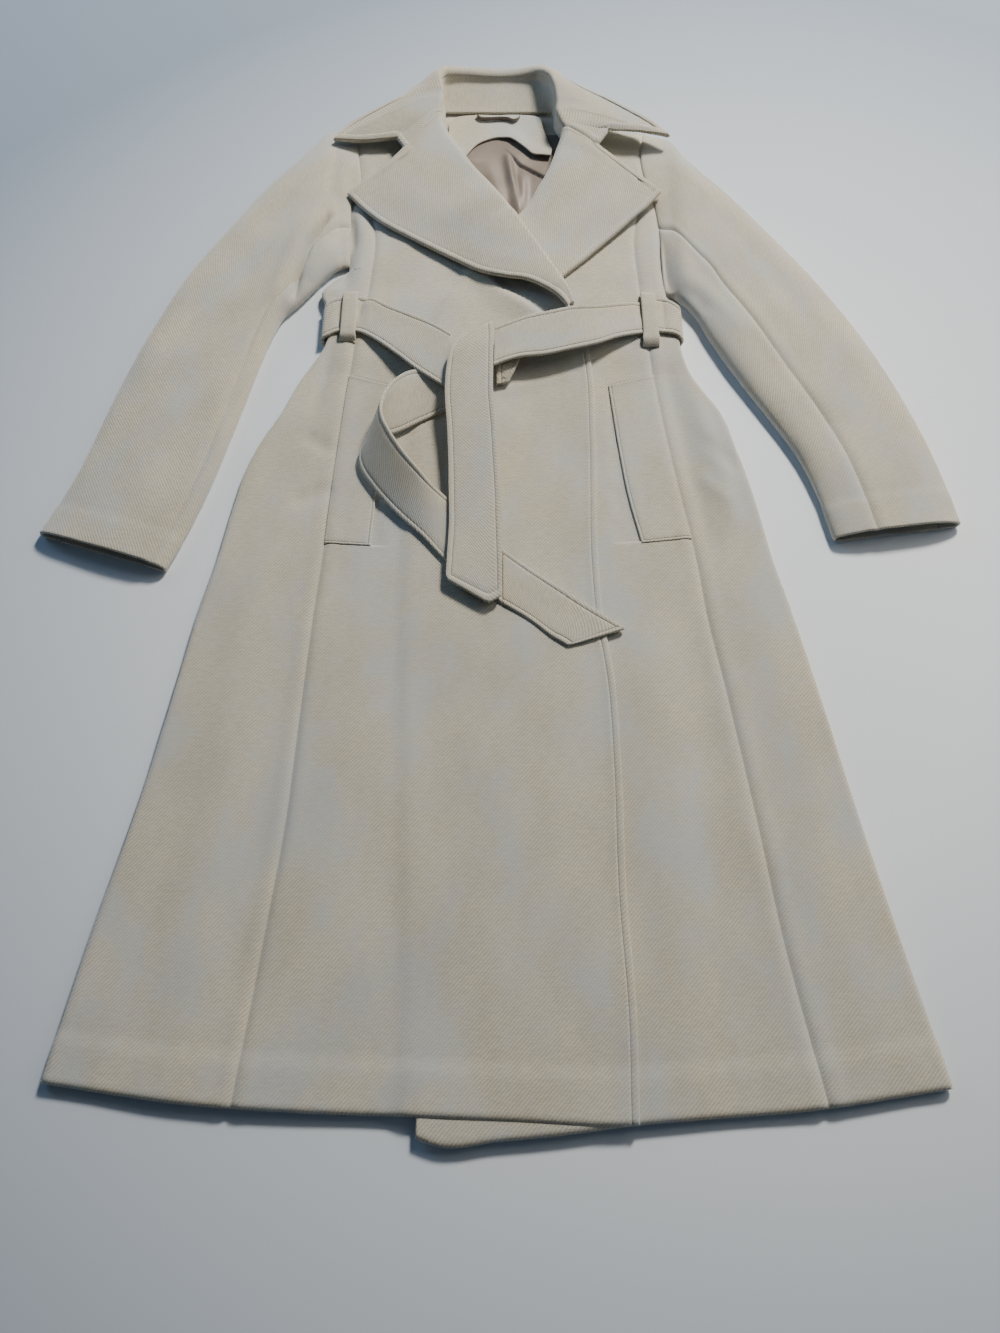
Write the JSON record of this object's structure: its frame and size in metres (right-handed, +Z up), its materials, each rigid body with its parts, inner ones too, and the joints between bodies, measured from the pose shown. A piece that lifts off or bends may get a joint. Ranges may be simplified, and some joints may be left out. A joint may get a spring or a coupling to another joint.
{
  "type": "wrap coat",
  "caption": "Long wool wrap coat laid flat on its back, with wide notched lapels, a turned-down collar, welt pockets and a loosely tied cloth belt.",
  "frame": {"origin": "middle of the coat's outline, on the surface that the coat lies on", "axes": "+X towards the wearer's left, +Y from the hem towards the collar, +Z up, out of the coat's front"},
  "size_m": [0.8979, 1.1882, 0.0515],
  "materials": {
    "oatmeal wool twill": "matt, brushed",
    "satin lining": "soft sheen"
  },
  "bodies": {
    "root": {"back_left": "oatmeal wool twill", "back_right": "oatmeal wool twill", "side_left": "oatmeal wool twill", "side_right": "oatmeal wool twill", "front_left": "oatmeal wool twill", "front_right": "oatmeal wool twill", "pocket_welt_left": "oatmeal wool twill", "pocket_welt_right": "oatmeal wool twill", "sleeve_upper_left": "oatmeal wool twill", "sleeve_upper_right": "oatmeal wool twill", "sleeve_under_left": "oatmeal wool twill", "sleeve_under_right": "oatmeal wool twill", "lapel_left": "oatmeal wool twill", "lapel_right": "oatmeal wool twill", "belt_carrier_left": "oatmeal wool twill", "belt_carrier_right": "oatmeal wool twill", "neck_facing": "oatmeal wool twill", "back_lining": "satin lining", "hanger_loop": "satin lining", "collar_fall": "oatmeal wool twill", "collar_stand": "oatmeal wool twill", "belt_back": "oatmeal wool twill", "belt_right": "oatmeal wool twill", "belt_left": "oatmeal wool twill", "belt_tail": "oatmeal wool twill", "belt_loop": "oatmeal wool twill", "belt_end": "oatmeal wool twill", "belt_turn": "oatmeal wool twill"}
  },
  "joints": []
}
